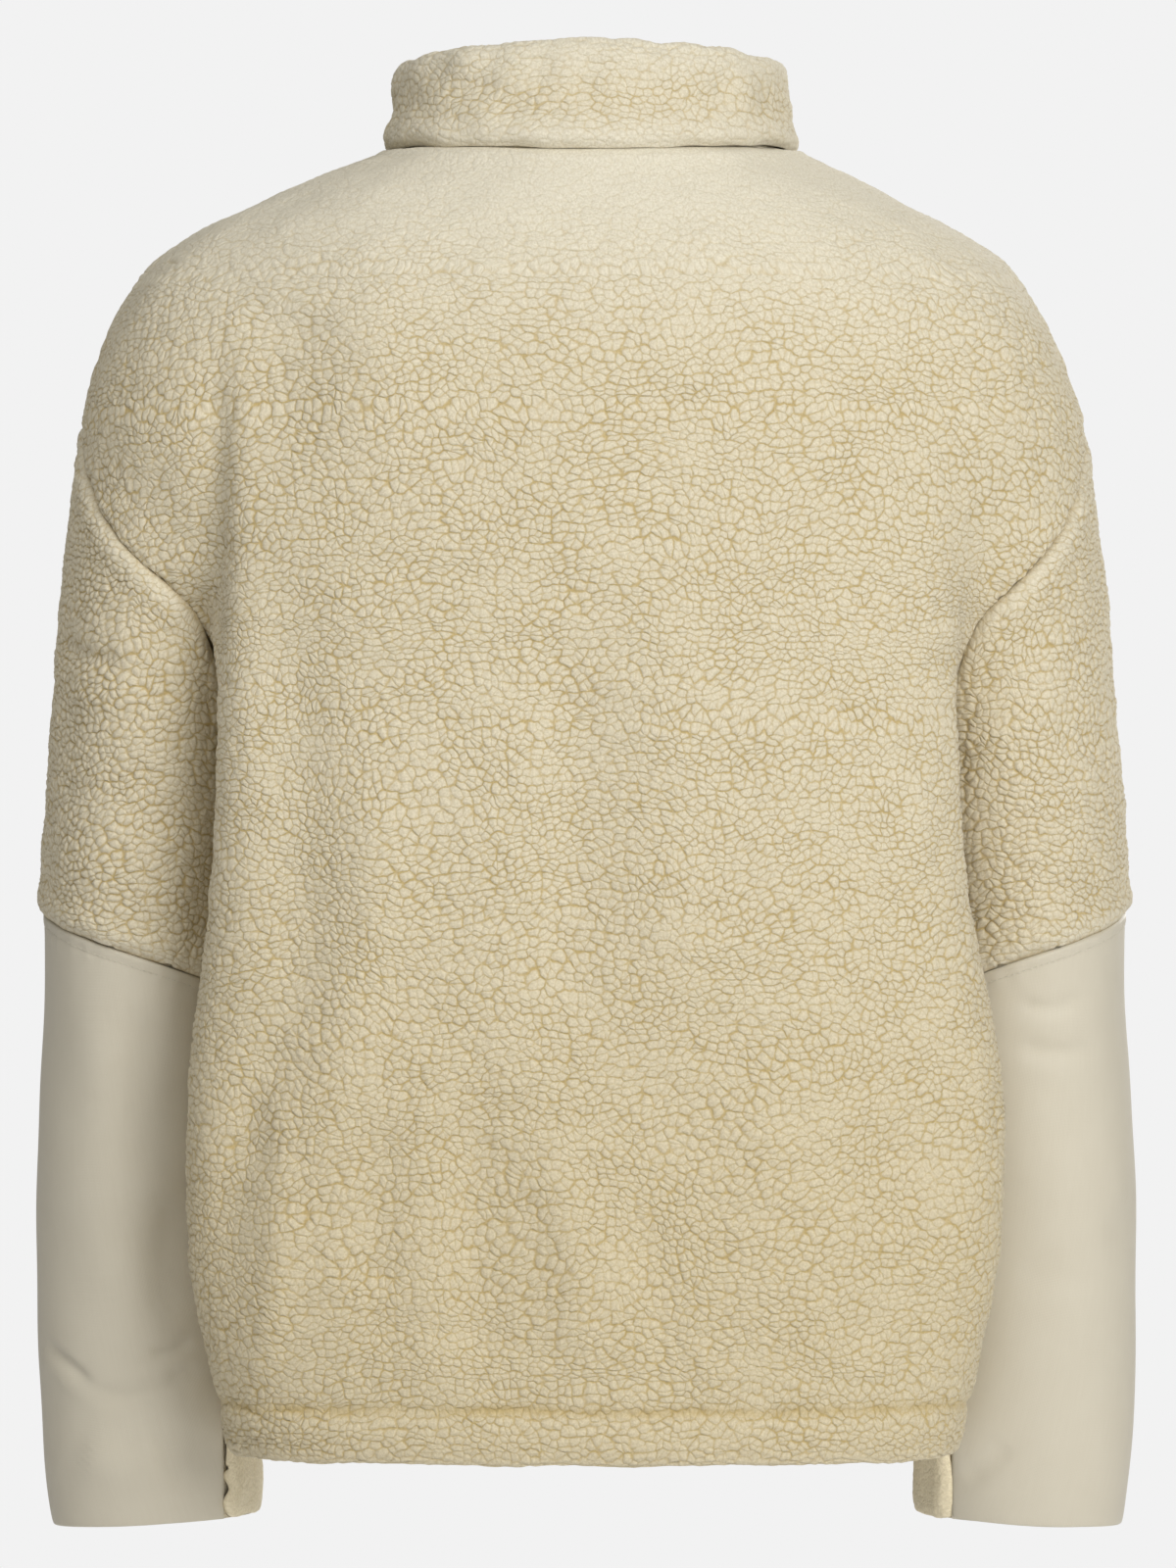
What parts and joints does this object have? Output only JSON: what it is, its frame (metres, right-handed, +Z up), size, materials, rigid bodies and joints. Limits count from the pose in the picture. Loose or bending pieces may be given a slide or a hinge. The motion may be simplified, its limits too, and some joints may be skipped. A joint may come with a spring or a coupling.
{
  "type": "fleece jacket",
  "caption": "Boxy high-pile fleece jacket with a stand collar, dropped shoulders, a full front zip and smooth woven panels on the outer forearms, filled out as worn.",
  "frame": {"origin": "middle of the neck, level with the seam between the collar and the back, where the jacket hangs from its wearer's neck and shoulders", "axes": "+Z up, +Y out of the back, +X to the wearer's left"},
  "size_m": [0.5646, 0.273, 0.7513],
  "materials": {
    "fleece": "curly high pile, matte",
    "woven": "smooth plain weave, soft sheen",
    "tape": "twill tape and moulded teeth",
    "metal": "satin"
  },
  "bodies": {
    "garment": {"back_panel": "fleece", "front_left": "fleece", "front_right": "fleece", "collar": "fleece", "sleeve_upper_left": "fleece", "sleeve_upper_right": "fleece", "forearm_woven_left": "woven", "forearm_woven_right": "woven", "forearm_strip_left": "fleece", "forearm_strip_right": "fleece", "zip_tape_left": "tape", "zip_tape_right": "tape", "zip_chain": "tape", "zip_slider": "metal", "zip_box": "metal"},
    "pull_tab": {"zip_pull": "metal"}
  },
  "joints": [
    {"name": "pull_tab_swing", "type": "hinge", "parent": "garment", "child": "pull_tab", "pos_m": [0, -0.10744, -0.00736], "axis": [-1, 0, 0], "range_deg": [0, 150]}
  ]
}
